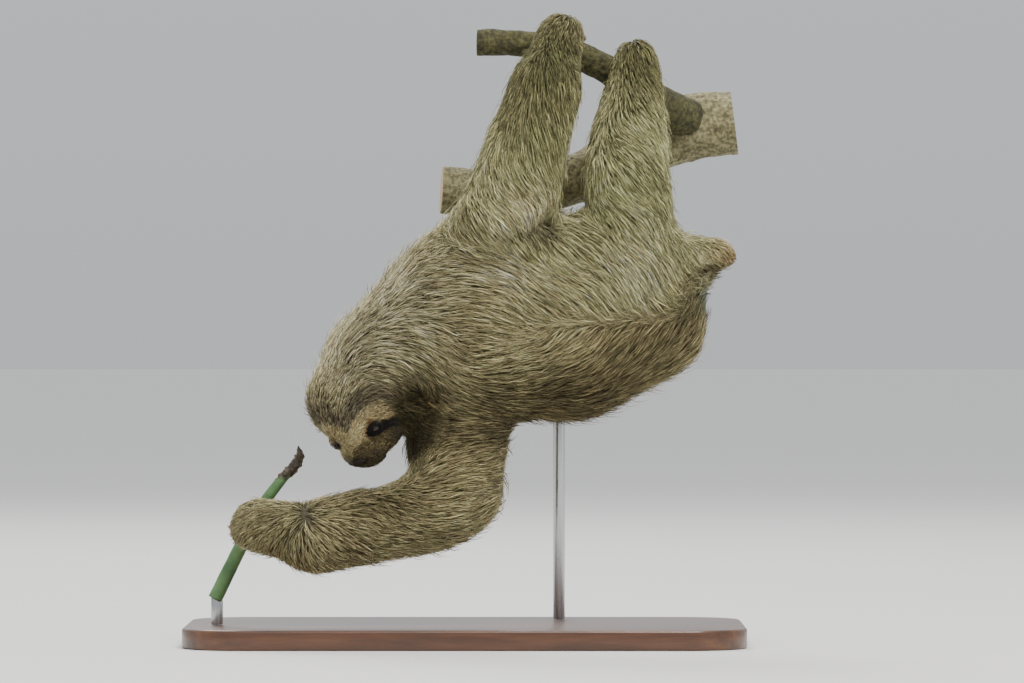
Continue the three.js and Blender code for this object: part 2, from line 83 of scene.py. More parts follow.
# The head's own axes: forward to the nose, left, and up to the crown.
LEFTWARD = np.array((0.865, -0.394, 0.313))
LEFTWARD /= np.linalg.norm(LEFTWARD)
NOSEWARD = np.array((0.01, -0.608, -0.795))
NOSEWARD -= LEFTWARD * (NOSEWARD @ LEFTWARD)
NOSEWARD /= np.linalg.norm(NOSEWARD)
HEAD_AXES = np.stack((NOSEWARD, LEFTWARD, np.cross(NOSEWARD, LEFTWARD)))

# Lumps of the bare head: middle (forward, left, up) and half sizes, inside the coat.
HEAD_LUMPS = (
    (0, 0, 2, 38, 42, 35),
    (-12, -8, 10, 33, 35, 33),
    (28, 1, 14, 17, 25, 13),
    (27, 25, -16, 17, 14, 12),
    (16, -21, -14, 15, 11, 11),
    (14, 0, -24, 31, 21, 14),
    (40, 3, -20, 15, 17, 11),
    (45, -1, -11, 16, 22, 12),
    (38, 0, 3, 15, 13, 11),
)


def smooth(x, low, high):
    t = np.clip((x - low) / (high - low), 0, 1)
    return t * t * (3 - 2 * t)


def unit(v):
    return v / np.maximum(np.linalg.norm(v, axis=-1, keepdims=True), 1e-9)


def waves(points, size, seed):
    """Smooth random hills, about size across."""
    source = np.random.default_rng(seed)
    turns = source.normal(0, 1, (12, 3)) / size
    phases = source.uniform(0, 2 * np.pi, 12)
    return np.sin(points @ turns.T * 2.2 + phases).mean(axis=1)


def in_head(points):
    return (points - np.array(SKULL)) @ HEAD_AXES.T


def out_of_head(q):
    return q @ HEAD_AXES + np.array(SKULL)


def centre_of(node):
    low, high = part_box(node)
    return np.array((low + high) / 2) / MM


EYES = {side: in_head(centre_of("eye_" + side)) for side in ("left", "right")}
EYE_RADIUS, LID_RADIUS = 6.0, 6.9
NOSE = in_head(centre_of("nose"))
NOSE_HALF = (4.2, 7.8, 4.8)  # half sizes forward, across and up


# ----- making meshes
def new_object(name, mesh):
    obj = bpy.data.objects.new(name, mesh)
    bpy.context.scene.collection.objects.link(obj)
    return obj


def shade_smooth(mesh):
    mesh.polygons.foreach_set("use_smooth", np.ones(len(mesh.polygons), dtype=bool))


def mesh_of(name, points, faces):
    """A mesh of equal-sided faces from arrays of points in millimetres."""
    mesh = bpy.data.meshes.new(name)
    mesh.vertices.add(len(points))
    mesh.vertices.foreach_set("co", (points * MM).astype(np.float32).ravel())
    mesh.loops.add(faces.size)
    mesh.loops.foreach_set("vertex_index", faces.astype(np.int32).ravel())
    mesh.polygons.add(len(faces))
    starts = np.arange(0, faces.size, faces.shape[1], dtype=np.int32)
    mesh.polygons.foreach_set("loop_start", starts)
    mesh.update(calc_edges=True)
    mesh.validate()
    shade_smooth(mesh)
    return mesh


def mesh_from(name, bm):
    mesh = bpy.data.meshes.new(name)
    bm.to_mesh(mesh)
    return mesh


def solid_of(node):
    """A CAD node's solid with its doubled points merged."""
    bm = bmesh.new()
    bm.from_mesh(NODES[node].data)
    bmesh.ops.remove_doubles(bm, verts=bm.verts, dist=MERGE)
    return bm


def modified(obj):
    """The object's mesh with its modifiers applied; the object itself is dropped."""
    mesh = bpy.data.meshes.new_from_object(obj.evaluated_get(bpy.context.evaluated_depsgraph_get()))
    bpy.data.objects.remove(obj)
    return mesh


def paint(mesh, name, values):
    """A named value, or linear colour, on every point."""
    if values.ndim == 1:
        layer = mesh.attributes.new(name, "FLOAT", "POINT")
        layer.data.foreach_set("value", values.astype(np.float32))
        return
    rgba = np.ones((len(values), 4), dtype=np.float32)
    rgba[:, :3] = values
    mesh.attributes.new(name, "FLOAT_COLOR", "POINT").data.foreach_set("color", rgba.ravel())


def array_of(collection, prop, width, kind=np.float64):
    values = np.empty(len(collection) * width, dtype=kind)
    collection.foreach_get(prop, values)
    return values.reshape(-1, width)


def points_of(mesh):
    return array_of(mesh.vertices, "co", 3) / MM


def normals_of(mesh):
    return array_of(mesh.vertex_normals, "vector", 3)


def edges_of(mesh):
    return array_of(mesh.edges, "vertices", 2, np.int32)


def move_points(mesh, points):
    mesh.vertices.foreach_set("co", (points * MM).ravel())
    mesh.update()


def finish_piece(obj, stands_for=(), materials=()):
    for m in materials:
        obj.data.materials.append(m)
    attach(obj, "root")
    if stands_for:
        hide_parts(*stands_for)
    return obj


# ----- materials
class Shader:
    """A node material built round one Principled shader, whose sockets take the settings."""

    def __init__(self, name, **settings):
        self.material = bpy.data.materials.new(name)
        self.material.use_nodes = True
        self.tree = self.material.node_tree
        self.shader = self.tree.nodes["Principled BSDF"]
        for socket, value in settings.items():
            self.shader.inputs[socket.replace("_", " ")].default_value = value

    def node(self, kind, inputs=(), **properties):
        node = self.tree.nodes.new("ShaderNode" + kind)
        for key, value in properties.items():
            setattr(node, key, value)
        for key, value in dict(inputs).items():
            if isinstance(value, bpy.types.NodeSocket):
                self.tree.links.new(value, node.inputs[key])
            else:
                node.inputs[key].default_value = value
        return node

    def link(self, socket, name):
        self.tree.links.new(socket, self.shader.inputs[name])

    def colour(self, base, times=None):
        """The base colour, multiplied by a second one where there is one."""
        self.link(self.mix(base, times, 1.0, "MULTIPLY") if times else base, "Base Color")

    def attribute(self, name, output="Fac"):
        return self.node("Attribute", attribute_name=name).outputs[output]

    def place(self, scale=(1, 1, 1)):
        coords = self.node("TexCoord").outputs["Object"]
        return self.node("Mapping", {"Vector": coords, "Scale": scale}).outputs["Vector"]

    def noise(self, scale, detail=3.0, stretch=(1, 1, 1), rough=0.5):
        sizes = {"Scale": scale, "Detail": detail, "Roughness": rough}
        return self.node("TexNoise", {"Vector": self.place(stretch), **sizes}).outputs["Fac"]

    def ramp(self, value, *stops):
        node = self.node("ValToRGB", {"Fac": value})
        elements = node.color_ramp.elements
        while len(elements) < len(stops):
            elements.new(0.5)
        for element, (at, colour) in zip(elements, stops):
            element.position = at
            element.color = (*linear(colour), 1)
        return node.outputs["Color"]

    def mix(self, a, b, amount, blend="MIX"):
        """A mix of two sockets or sRGB colours."""
        a, b = (v if isinstance(v, bpy.types.NodeSocket) else (*linear(v), 1) for v in (a, b))
        inputs = {0: amount, 6: a, 7: b}
        return self.node("Mix", inputs, data_type="RGBA", blend_type=blend).outputs[2]

    def bump(self, height, strength, distance):
        node = self.node("Bump", {"Height": height, "Strength": strength, "Distance": distance})
        self.link(node.outputs["Normal"], "Normal")


def linear(colour):
    """An sRGB colour of 0 to 255 as linear light."""
    c = np.asarray(colour, dtype=float) / 255
    return tuple(np.where(c <= 0.04045, c / 12.92, ((c + 0.055) / 1.055) ** 2.4))


def hair_material():
    """Each lock carries fine hairs that run along it."""
    s = Shader("hair", Roughness=0.65, Specular_IOR_Level=0.28)
    pick = s.attribute("pick")
    across = s.node("Math", {0: s.attribute("across"), 1: 2.6}, operation="MULTIPLY")
    along = s.node("Math", {0: s.attribute("along"), 1: 1.4}, operation="MULTIPLY")
    vector = s.node("CombineXYZ", {"X": across.outputs[0], "Y": along.outputs[0], "Z": pick})
    fine = {"Vector": vector.outputs[0], "Scale": 1.0, "Detail": 2.0}
    hairs = s.node("TexNoise", fine).outputs["Fac"]
    streaks = s.ramp(hairs, (0.36, (100, 96, 88)), (0.5, (200, 198, 192)), (0.62, (255, 255, 255)))
    s.colour(s.attribute("tone", "Color"), streaks)
    s.bump(hairs, 0.8, 0.0007)
    return s.material


def skin_material():
    s = Shader("skin", Roughness=0.7, Specular_IOR_Level=0.3)
    fine = s.ramp(s.noise(1400, 2.0), (0.3, (175,) * 3), (0.7, (250,) * 3))
    s.colour(s.attribute("tone", "Color"), fine)
    s.bump(s.noise(2200, 3.0), 0.6, 0.0006)
    return s.material


def eye_material():
    s = Shader("eye", Roughness=0.12, Specular_IOR_Level=0.4)
    s.colour(s.ramp(s.noise(900, 3.0), (0.35, (14, 9, 6)), (0.75, (46, 30, 18))))
    return s.material


def nose_material():
    s = Shader("nose", Roughness=0.78, Specular_IOR_Level=0.2)
    cells = s.node("TexVoronoi", {"Vector": s.place(), "Scale": 1100.0}).outputs["Distance"]
    s.colour(s.ramp(s.noise(500, 3.0), (0.3, (18, 14, 11)), (0.75, (38, 30, 22))))
    s.bump(cells, 0.5, 0.0005)
    return s.material


def claw_material():
    s = Shader("claw", Roughness=0.38)
    length = s.attribute("along")
    horn = s.ramp(length, (0.0, (92, 76, 54)), (0.5, (164, 146, 110)), (1.0, (196, 184, 152)))
    streaks = s.ramp(s.noise(700, 4.0), (0.3, (190, 180, 170)), (0.7, (255, 255, 255)))
    s.colour(horn, streaks)
    s.bump(s.noise(900, 3.0), 0.25, 0.0004)
    return s.material


def bark_material(name, dark, middle, pale, growth):
    s = Shader(name, Roughness=0.86)
    grain = s.noise(70, 9.0, rough=0.7)
    bark = s.ramp(grain, (0.28, dark), (0.5, middle), (0.74, pale))
    patches = s.ramp(s.noise(24, 9.0, rough=0.65), (0.48, (0, 0, 0)), (0.7, (190, 190, 190)))
    freckles = s.ramp(s.noise(260, 4.0), (0.4, (176, 176, 176)), (0.58, (255, 255, 255)))
    s.colour(s.mix(bark, growth, patches), freckles)
    s.bump(s.noise(120, 8.0, rough=0.7), 1.0, 0.004)
    return s.material


def cut_wood_material():
    s = Shader("cut_wood", Roughness=0.7)
    rings = s.node("Math", {0: s.attribute("ring"), 1: 2.4}, operation="MULTIPLY")
    wave = s.node("Math", {0: rings.outputs[0]}, operation="SINE")
    level = s.node("MapRange", {"Value": wave.outputs[0], "From Min": -1.0, "From Max": 1.0})
    wood = s.ramp(level.outputs["Result"], (0.2, (176, 148, 108)), (0.9, (208, 184, 142)))
    stains = s.ramp(s.noise(60, 4.0), (0.5, (0, 0, 0)), (0.8, (150, 150, 150)))
    s.colour(s.mix(wood, (120, 96, 66), stains))
    s.bump(s.noise(400, 4.0), 0.4, 0.0006)
    return s.material


def stem_material():
    s = Shader("stem", Roughness=0.5)
    green = s.ramp(s.noise(45, 5.0), (0.3, (58, 96, 54)), (0.7, (104, 138, 84)))
    brown = s.ramp(s.noise(160, 6.0), (0.3, (30, 24, 17)), (0.7, (84, 68, 46)))
    s.colour(s.mix(green, brown, s.attribute("dead")))
    s.bump(s.noise(300, 5.0), 0.4, 0.0008)
    return s.material


def wood_material():
    s = Shader("wood", Roughness=0.34, Coat_Weight=0.35, Coat_Roughness=0.18)
    grain = s.noise(9, 8.0, (0.6, 7, 7), 0.62)
    s.colour(s.ramp(grain, (0.28, (44, 25, 15)), (0.5, (82, 50, 30)), (0.75, (112, 72, 44))))
    s.bump(s.noise(30, 6.0, (0.6, 9, 9)), 0.15, 0.0006)
    return s.material


def steel_material():
    s = Shader("steel", Metallic=1.0)
    brushed = s.noise(300, 4.0, (1, 1, 0.02))
    s.colour(s.ramp(brushed, (0.3, (170, 171, 173)), (0.7, (198, 199, 201))))
    s.link(s.ramp(brushed, (0.3, (120, 120, 120)), (0.7, (160, 160, 160))), "Roughness")
    return s.material


def plain_material(name, colour, grain):
    s = Shader(name, Roughness=0.8)
    s.colour(s.mix(colour, tuple(c - 3 for c in colour), s.noise(grain, 2.0)))
    return s.material


# ----- where on the body
BLEND = 7  # how far one bone's rule fades into the next


def along_line(points, start, end):
    """How far along a line each point is, from 0 to 1, and its distance from the line."""
    start, way = np.array(start, float), np.array(end, float) - np.array(start, float)
    t = np.clip((points - start) @ way / (way @ way), 0, 1)
    return t, np.linalg.norm(points - start - t[:, None] * way, axis=1)


def bone_weights(points):
    """How much each bone rules each point, and the distance to its surface."""
    distances = []
    for _, start, end, r0, r1, *_ in BONES:
        t, away = along_line(points, start, end)
        distances.append(away - (r0 + (r1 - r0) * t))
    distances = np.stack(distances, axis=1)
    weights = np.exp(-(distances - distances.min(axis=1, keepdims=True)) / BLEND)
    return weights / weights.sum(axis=1, keepdims=True), distances


BONE_NAMES = [b[0] for b in BONES]
TRUNK_BONES = [BONE_NAMES.index(name) for name in ("chest", "belly", "rump")]
HAIR = np.array([b[5:8] for b in BONES], float)  # length, depth, width
BONE_LIE = unit(np.array([b[8] for b in BONES], float))
# 1 for the bones with a thin end, and 1 for those whose hair hangs in the heaviest locks.
THIN_ENDS = np.array([float(min(b[3:5]) < 28) for b in BONES])
SHAGGY_BONES = ("upper_arm_right", "forearm_right", "thigh_right")
SHAGGY = np.array([name in SHAGGY_BONES for name in BONE_NAMES], float)

# The lie of the coat as seen from behind: places x, z and headings in degrees (0 right, 90 up).
LIE = {
    "crown": ((-138, 261, 70), (-143, 287, 62), (-120, 315, 38)),
    "side of the face": ((-87, 287, -8), (-65, 250, -12)),
    "cheek fringe": ((-23, 266, -55), (-45, 262, -35), (-40, 285, -35)),
    "neck": ((-105, 345, 42), (-74, 363, 48), (-49, 343, 15), (-36, 299, -18)),
    "upper back": ((-10, 381, 14), (15, 390, 0), (40, 376, -30), (15, 325, -12), (40, 343, -20)),
    "loin above the midline": ((66, 355, -36), (117, 350, -47), (142, 401, -58)),
    "rump above the midline": ((175, 345, -62), (206, 381, -78)),
    "below the midline": (
        (66, 287, 20), (100, 300, 50), (142, 302, 56), (185, 305, 62), (225, 340, 82),
    ),
    "lower flank": ((91, 241, 24), (155, 255, 40), (200, 280, 60), (30, 260, 14)),
    "right forearm": (
        (98, 628, -120), (70, 535, -82), (40, 545, -100), (105, 540, -78), (92, 600, -70),
    ),
    "right upper arm": (
        (65, 495, -70), (35, 465, -50), (72, 462, -46), (60, 420, -55), (10, 430, -35),
    ),
    "right hindlimb": (
        (175, 590, -80), (175, 545, -72), (155, 498, -35), (163, 478, -30), (122, 478, -100),
    ),
    "right thigh": ((180, 455, -46), (135, 435, -30), (205, 440, -75)),
    "left upper arm": ((2, 253, -8), (-12, 215, 15), (15, 223, 15), (-23, 185, 42), (25, 190, 30)),
    "left forearm": ((-125, 145, 10), (-87, 134, -14), (-11, 134, 24), (10, 115, 30)),
    "left wrist": ((-65, 95, -2), (-125, 105, -25), (-151, 95, -62)),
    "left hand": ((-225, 126, 180), (-202, 121, -120), (-189, 103, -95), (-185, 130, 160)),
    "tail": ((250, 395, -20), (240, 385, -45)),
}
STROKES = np.array([stroke for strokes in LIE.values() for stroke in strokes], float)
STROKE_REACH, STROKE_PULL, MIDLINE_PULL = 24, 4.0, 0.9


def lie_of_hair(points, normals, weights):
    """Unit directions along the skin in which the hair runs."""
    flow = weights @ BONE_LIE
    trunk = sum(weights[:, b] for b in TRUNK_BONES)
    x = points[:, 0]
    rise = 0.0016 * np.maximum(x - 90, 0) ** 2.1
    midline = np.stack([x, -120 + 0.0009 * (x - 90) ** 2, 318 + rise], axis=1)
    toward = midline - points
    pull = np.clip(np.linalg.norm(toward, axis=1, keepdims=True) / 40, 0, 1)
    flow += unit(toward) * pull * trunk[:, None] * MIDLINE_PULL
    away = (x[:, None] - STROKES[:, 0]) ** 2 + (points[:, 2:3] - STROKES[:, 1]) ** 2
    near = np.exp(-away / STROKE_REACH**2)
    heading = np.radians(STROKES[:, 2])
    drawn = np.stack([near @ np.cos(heading), 0 * x, near @ np.sin(heading)], axis=1)
    seen = smooth(-normals[:, 1], -0.35, 0.35)[:, None] * smooth(-points[:, 1], -70, -30)[:, None]
    flow = flow + drawn * seen * STROKE_PULL
    flow -= normals * (flow * normals).sum(axis=1, keepdims=True)
    return unit(flow)


# ----- markings and painted shade
TAUPE, OLIVE, GREY, BEIGE = (204, 193, 146), (214, 215, 156), (208, 198, 162), (250, 234, 184)
BROWN, DARK, WHITE, TAN = (132, 120, 86), (52, 45, 33), (235, 235, 224), (200, 172, 124)
HOOD, PALE_FACE, EYE_BLACK = (134, 124, 101), (238, 214, 158), (20, 15, 10)
# The last two tones on the next line are painted shade and painted deep shadow, not colours of the
# coat.
RUST, MUZZLE, SHADE, SHADOW_BLACK = (158, 100, 44), (132, 118, 80), (93, 86, 59), (22, 20, 15)
MOSS, FROST = (130, 128, 86), (184, 204, 176)

# colour, place x, z, half sizes, turn in degrees, strength, deepest y at which it shows
MARKS_AND_SHADE = (
    (GREY, (-85, 330), (70, 40), 38, 0.8, 60),
    (GREY, (-120, 280), (45, 50), 0, 0.6, 60),
    (OLIVE, (150, 420), (80, 80), 0, 0.9, 90),
    (OLIVE, (60, 490), (55, 80), -20, 0.8, 90),
    (OLIVE, (165, 500), (45, 100), 0, 0.8, 90),
    (BEIGE, (13, 377), (38, 18), 8, 1.0, 0),
    (BEIGE, (56, 448), (32, 26), 30, 0.85, 30),
    (BROWN, (92, 248), (140, 34), 12, 1.0, 60),
    (BROWN, (150, 300), (46, 28), 20, 0.8, 40),
    (BROWN, (195, 305), (44, 30), 24, 0.8, 40),
    # Painted shade along the midline parting.
    (BROWN, (112, 327), (54, 9), 4, 0.5, 0),
    (BROWN, (-12, 205), (42, 50), 0, 0.75, 60),
    # The next two marks are painted shade: in the hollow between the shoulder blades and in the gap
    # between cheek and shoulder.
    (BROWN, (-9, 303), (16, 10), -20, 0.45, 0),
    (BROWN, (-60, 245), (34, 26), 0, 0.8, 60),
    (MOSS, (84, 585), (40, 66), -20, 1.0, 60),
    (MOSS, (66, 525), (34, 40), -20, 0.5, 60),
    (MOSS, (172, 590), (36, 46), 0, 0.9, 60),
    (BROWN, (-100, 143), (60, 11), 8, 0.7, 60),
    (BROWN, (-70, 122), (90, 36), 0, 0.4, 60),
    (BEIGE, (158, 398), (44, 34), 0, 0.5, 30),
    # The next seven marks are painted shade: along the underside, in the crease where the right arm
    # meets the body, in the hollow between the shoulder blades, and deep in the gap between cheek
    # and shoulder.
    (DARK, (110, 228), (120, 14), 10, 0.6, 60),
    (DARK, (70, 412), (24, 6), 26, 0.45, 0),
    (DARK, (-9, 305), (9, 6), -20, 0.7, 0),
    (SHADOW_BLACK, (-47, 248), (18, 24), -30, 1.0, 10),
    (SHADOW_BLACK, (-54, 236), (15, 30), 0, 0.95, 10),
    (SHADOW_BLACK, (69, 415), (17, 3.5), 26, 0.95, 0),
    (SHADOW_BLACK, (-50, 222), (14, 34), 10, 0.75, 20),
    # The next three marks are painted shade: under the tail, and along the midline parting on the
    # rump.
    (DARK, (226, 352), (26, 9), 20, 0.6, 30),
    (DARK, (240, 380), (20, 5), 20, 0.7, 30),
    (BROWN, (185, 345), (50, 9), 38, 0.6, 0),
    (SHADE, (218, 325), (28, 38), 0, 0.85, 90),
    (FROST, (229, 338), (6, 16), 8, 0.6, 60),
    (FROST, (235, 318), (5, 20), 4, 0.7, 60),
    (WHITE, (-76, 376), (7, 7), 45, 0.9, 20),
    (WHITE, (-95, 157), (12, 3), 15, 0.6, 20),
    (WHITE, (119, 480), (4, 14), 0, 0.6, 20),
    (TAN, (262, 396), (17, 20), 0, 0.9, 60),
    (SHADE, (246, 372), (18, 9), 30, 0.8, 60),
)


# How high the muzzle's brown reaches, from the right cheek across to the left one; it reaches
# higher on the left cheek than on the right, and that difference is painted shade.
BROWN_SIDES = (-30, -14, -6, 0, 8, 14, 19, 27, 37)
BROWN_TOPS = (-13, -9, 1, 7, 8, 5, 1, -1, -3)
# How much narrower than the left one each eye's stripe is, and how strong its rust rim.
STRIPES = {"left": (0, 0.75), "right": (3.4, 0.3)}


def hood_edge(face):
    """How far forward the dark hood reaches, in a point over the nose."""
    return 46 - np.where(face[:, 1] > 0, 0.9, 0.7) * np.minimum(np.abs(face[:, 1]), 34)


def eye_axes(eye):
    """From the eye back along its dark stripe, up across it, and out the way it looks."""
    side = np.sign(eye[1])
    back = unit(np.array((-0.56, 0.79 * side, -0.235)))
    out = unit(np.array((31.0, 14.0 * side, 5.0)))
    over = unit(np.cross(out, back)) * side
    return unit(np.cross(over, out)) * side, over, out


def spot(a, b, half_a, half_b):
    return np.exp(-((a / half_a) ** 2 + (b / half_b) ** 2) * 1.1)


def tinted(colour, tone, amount):
    """The colours drawn toward a tone, by an amount at each point."""
    return colour + (np.array(linear(tone)) - colour) * amount[:, None]


def markings_and_shade(points):
    """The animal's own colour at each place, with painted shade in creases, hollows, under the body
    and beside the cheek, the same for skin and coat.
    """
    colour = np.tile(linear(TAUPE), (len(points), 1))
    for tone, (x, z), (long, short), turn, strength, depth in MARKS_AND_SHADE:
        dx, dz, t = points[:, 0] - x, points[:, 2] - z, np.radians(turn)
        along, across = dx * np.cos(t) + dz * np.sin(t), dz * np.cos(t) - dx * np.sin(t)
        reached = smooth(depth - points[:, 1], -15, 15)
        colour = tinted(colour, tone, spot(along, across, long, short) * strength * reached)
    face = in_head(points)
    on_head = smooth(110 - np.linalg.norm(face, axis=1), 25, 40)
    for tone, amount in face_tints(face):
        colour = tinted(colour, tone, np.clip(amount, 0, 1) * on_head)
    mottle = 1 + 0.42 * waves(points, 34, 71) + 0.35 * waves(points, 11, 72)
    return colour * mottle[:, None]


def face_tints(face):
    """Tones and amounts in the order laid on: hood, pale band, muzzle, nose, painted shade under
    the jaw, painted shadow beside the left shoulder, eyes.
    """
    forward, side, up = face.T
    past_hood = forward - hood_edge(face)
    yield HOOD, smooth(-past_hood, -2, 3) * smooth(past_hood, -34, -8) * smooth(up, 4, 18) * 0.9
    yield PALE_FACE, smooth(past_hood, -2, 3 + 7 * smooth(side, 6, 24)) * smooth(up, -10, 1) * 0.95
    under_brown = smooth(np.interp(side, BROWN_SIDES, BROWN_TOPS) - up, -2.5, 2.5)
    # The muzzle's own brown, reaching further back on the left cheek as painted shade.
    yield MUZZLE, smooth(forward + 0.6 * np.maximum(side, 0), 18, 36) * under_brown * 0.95
    yield DARK, smooth(forward, 46, 58) * smooth(-up, -1, 10) * 0.7
    # Painted shade at the rear of the jaw, cast by the shoulder on the left cheek and mirrored onto
    # the right.
    yield DARK, smooth(np.abs(side), 21, 36) * smooth(forward, 14, 26) * smooth(-up, -2, 6) * 0.85
    # Painted shadow in the gap between the left cheek and the shoulder.
    yield SHADE, smooth(side, 30, 42) * smooth(forward, -8, 12) * smooth(-up, -18, 0) * 0.75
    for name, eye in EYES.items():
        yield from stripe_tints(face - eye, eye_axes(eye), *STRIPES[name])


def stripe_tints(away, axes, narrower, rust):
    """The rust rim and black stripe of one eye, from places measured from that eye."""
    x, y, out = (away @ axis for axis in axes)
    near = smooth(-np.abs(out), -20, -13)
    middle = 0.3 - 0.54 * np.maximum(x, 0) - 0.3 * np.maximum(-x - 6, 0)
    half = 8.2 * smooth(x, -16, -4) - 4 * smooth(x, 3, 13) - narrower
    off = np.abs(y - middle)
    rim = smooth(half + 3.5 - off, -1.5, 1.5) * smooth(y - middle, -2, 2)
    yield RUST, rim * smooth(x, -17, -12) * smooth(-x, -4, 5) * near * rust
    stripe = smooth(half - off, -1.8, 1.8) * smooth(x, -15, -11) * smooth(-x, -30, -12)
    yield EYE_BLACK, stripe * near


# ----- skin
SKIN_VOXEL = 0.003  # the skin's grain, in metres
SEAM_OVERLAP = 0.0012  # how far the flesh is swelled, in metres
FACE_HAIR = 3  # how deep the face's hair lies where no bone's own depth rules


def head_field(q):
    """Signed distance to the bare head, with the globes of the eyes under their lids."""
    d = None
    for *middle, a, b, c in HEAD_LUMPS:
        u, half = q - np.array(middle), np.array((a, b, c), float)
        k0 = np.linalg.norm(u / half, axis=1)
        e = k0 * (k0 - 1) / np.maximum(np.linalg.norm(u / half**2, axis=1), 1e-6)
        d = e if d is None else blended(d, e, 13)
    for eye in EYES.values():
        d = blended(d, np.linalg.norm(q - eye, axis=1) - LID_RADIUS, 5)
    return d


def blended(a, b, width):
    """The nearer of two distances, rounded over where they meet."""
    h = np.maximum(width - np.abs(a - b), 0) / width
    return np.minimum(a, b) - h * h * width / 4


def slope(field, q):
    step = 0.4
    return unit(np.stack([field(q + e) - field(q - e) for e in np.eye(3) * step], axis=1))


def relax(points, edges, rounds, amount):
    """Each point moved toward the middle of its neighbours, round after round."""
    degree = np.maximum(np.bincount(edges.ravel(), minlength=len(points)), 1)
    for _ in range(rounds):
        moved = np.empty_like(points)
        for axis in range(3):
            p = points[:, axis]
            total = np.bincount(edges[:, 0], p[edges[:, 1]], len(points))
            total += np.bincount(edges[:, 1], p[edges[:, 0]], len(points))
            moved[:, axis] = p + amount * (total / degree - p)
        points = moved
    return points


# Furrows in the coat seen from behind: from x, z to x, z, width and depth.
FURROWS = (
    ((48, 402), (94, 426), 8, 15),
    ((40, 424), (84, 446), 14, -6),
    ((-48, 262), (-40, 248), 12, 9),
    ((-12, 308), (-6, 302), 8, 4),
    ((60, 322), (150, 322), 7, 3),
    ((150, 322), (210, 362), 7, 3),
    ((222, 372), (250, 378), 6, 4),
)


def furrowed(points, normals):
    """How far the skin sinks into the furrows at each point."""
    sunk = np.zeros(len(points))
    for start, end, width, depth in FURROWS:
        _, away = along_line(points[:, [0, 2]], start, end)
        sunk += depth * np.exp(-((away / width) ** 2))
    return sunk * smooth(-normals[:, 1], -0.1, 0.5) * smooth(-points[:, 1], 0, 30)


def joined_flesh():
    """The flesh nodes, swelled until they overlap, made into one closed surface."""
    joined = bmesh.new()
    for name in FLESH:
        part = solid_of(name)
        part.normal_update()
        for v in part.verts:
            v.co += v.normal * SEAM_OVERLAP
        mesh = mesh_from(name, part)
        joined.from_mesh(mesh)
        bpy.data.meshes.remove(mesh)
    obj = new_object("flesh", mesh_from("flesh", joined))
    remesh = obj.modifiers.new("one", "REMESH")
    remesh.mode, remesh.voxel_size = "VOXEL", SKIN_VOXEL
    return modified(obj)


def finer_face(mesh):
    """Splits the faces on the front of the head, so that lids and lips can be shaped."""
    bm = bmesh.new()
    bm.from_mesh(mesh)
    for behind in (8, 20):
        q = in_head(np.array([e.verts[0].co + e.verts[1].co for e in bm.edges]) / 2 / MM)
        chosen = (q[:, 0] > behind) & (head_field(q) < 8) & (head_field(q) > -12)
        edges = [e for e, yes in zip(bm.edges, chosen) if yes]
        bmesh.ops.subdivide_edges(bm, edges=edges, cuts=1, use_grid_fill=True)
    bmesh.ops.triangulate(bm, faces=[f for f in bm.faces if len(f.verts) > 4])
    bm.to_mesh(mesh)


def head_share(points, distances, reach):
    """How far the bare head's own form rules each point."""
    q = in_head(points)
    arm = distances[:, BONE_NAMES.index("upper_arm_left")]
    clear = smooth(arm - distances[:, 0], -6, 6)
    return smooth(q[:, 0], -22, 4) * (np.abs(head_field(q)) < reach) * clear


def drawn_to_head(points, edges, ruled, rounds):
    """The ruled points pulled onto the bare head, smoothed a little each round."""
    for _ in range(rounds):
        points = relax(points, edges, 1, 0.3 * ruled)
        for _ in range(2):
            q = in_head(points)
            points = out_of_head(q - slope(head_field, q) * (head_field(q) * ruled)[:, None])
    return points


def make_skin():
    """One skin, smoothed and drawn in from the flesh by the coat's depth, with a modelled face."""
    mesh = joined_flesh()
    points, edges = points_of(mesh), edges_of(mesh)
    front = smooth(in_head(points)[:, 0], -25, 5) * (np.linalg.norm(in_head(points), axis=1) < 95)
    smoothed = relax(points, edges, 34, 0.5 * (1 - 0.85 * front))
    # Smoothing draws in the tail, hands and feet, so they get back what they lost.
    thin = bone_weights(smoothed)[0] @ THIN_ENDS * (1 - front)
    points = smoothed + relax(points - smoothed, edges, 14, 0.5) * thin[:, None]
    move_points(mesh, points)
    normals = normals_of(mesh)
    weights, distances = bone_weights(points)
    ruled = head_share(points, distances, 16)
    depth = (weights @ HAIR[:, 1] + furrowed(points, normals)) * (1 - ruled) + FACE_HAIR * ruled
    move_points(mesh, drawn_to_head(points - normals * depth[:, None], edges, ruled, 6))

    finer_face(mesh)
    points, edges = points_of(mesh), edges_of(mesh)
    ruled = head_share(points, bone_weights(points)[1], 5)
    points = drawn_to_head(points, edges, ruled, 3)
    move_points(mesh, relax(out_of_head(sculpted_face(in_head(points), ruled)), edges, 2, 0.25))
    return mesh


